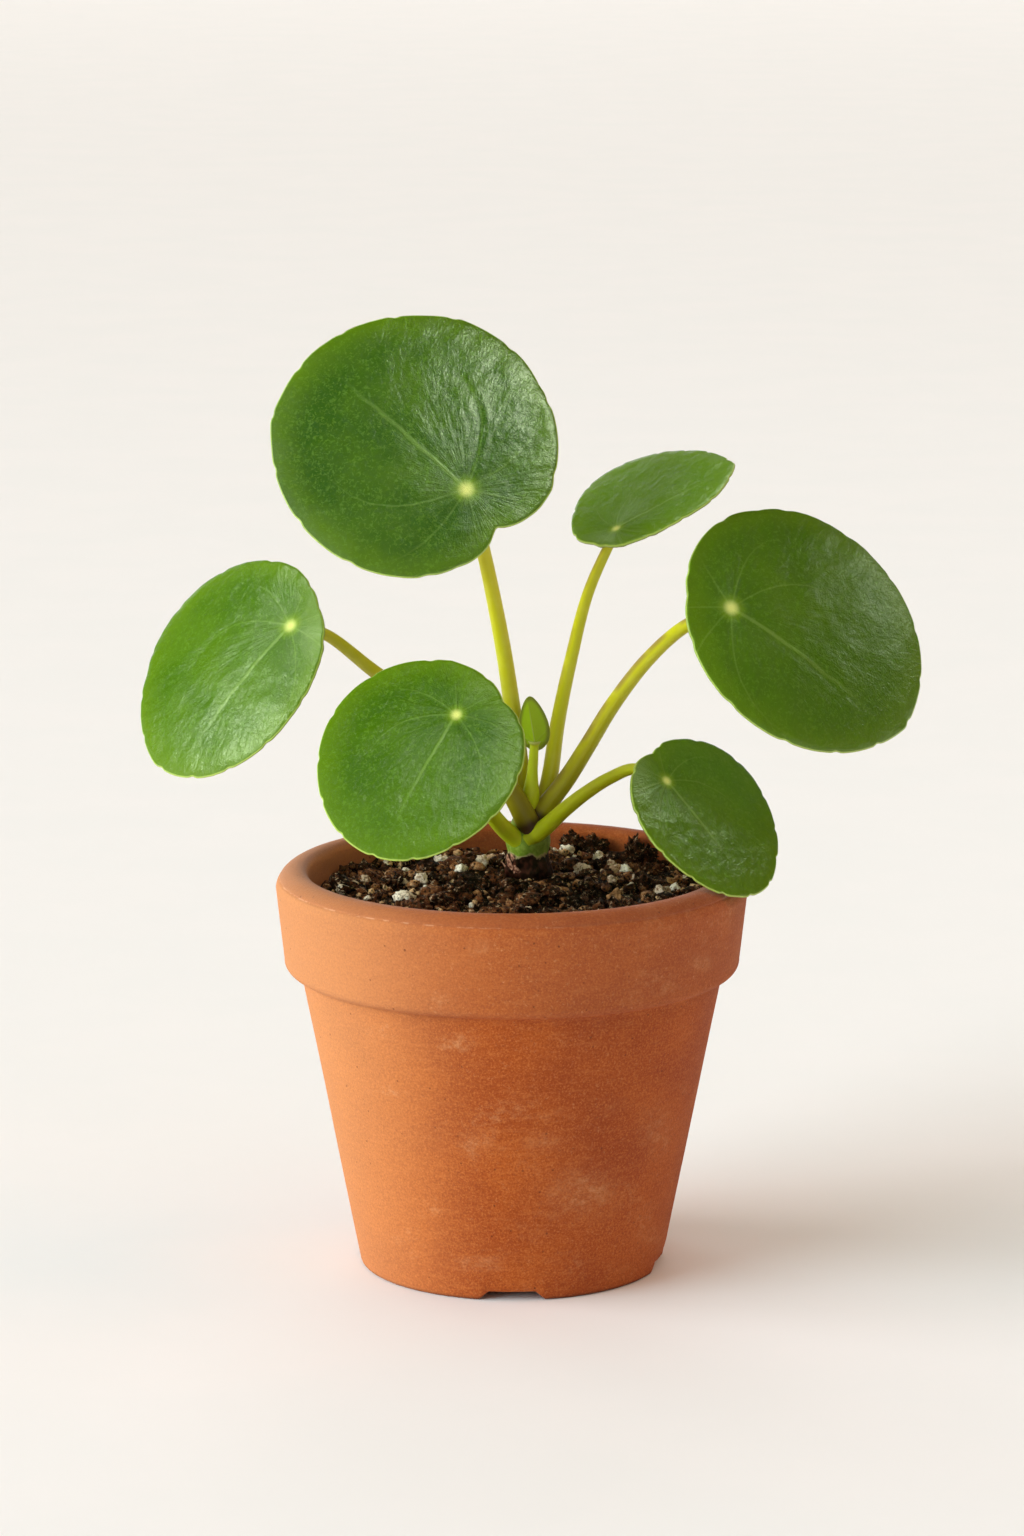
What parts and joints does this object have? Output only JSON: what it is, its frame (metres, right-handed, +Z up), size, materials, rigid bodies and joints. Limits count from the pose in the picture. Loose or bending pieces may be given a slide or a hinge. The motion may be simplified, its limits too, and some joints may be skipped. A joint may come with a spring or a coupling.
{
  "type": "potted pilea plant",
  "caption": "Young pilea with round coin-shaped leaves on long petioles, growing in gritty soil in a tapered terracotta pot with a collared rim; stands on its foot ring.",
  "frame": {"origin": "middle of the object's bounding box, on the surface that it stands on; the pot's axis stands 4.1 mm to -X of it", "axes": "+Z up, -Y towards the front, where the leaves face, +X to the right as seen from the front"},
  "size_m": [0.1834, 0.11, 0.2201],
  "materials": {
    "terracotta": "unglazed, matte, slightly chalky",
    "soil": "loose peat and bark crumbs with pale grit",
    "stem": "dark woody base with papery scales under a green crown",
    "petiole": "smooth, satin, yellow-green",
    "leaf": "glossy, finely wrinkled"
  },
  "bodies": {
    "root": {"pot": "terracotta", "soil": "soil", "stem": "stem", "leaf_1": "leaf", "leaf_2": "leaf", "leaf_3": "leaf", "leaf_4": "leaf", "leaf_5": "leaf", "leaf_6": "leaf", "bud_leaf": "leaf", "petiole_1": "petiole", "petiole_2": "petiole", "petiole_3": "petiole", "petiole_4": "petiole", "petiole_5": "petiole", "petiole_6": "petiole", "bud_petiole": "petiole"}
  },
  "joints": []
}
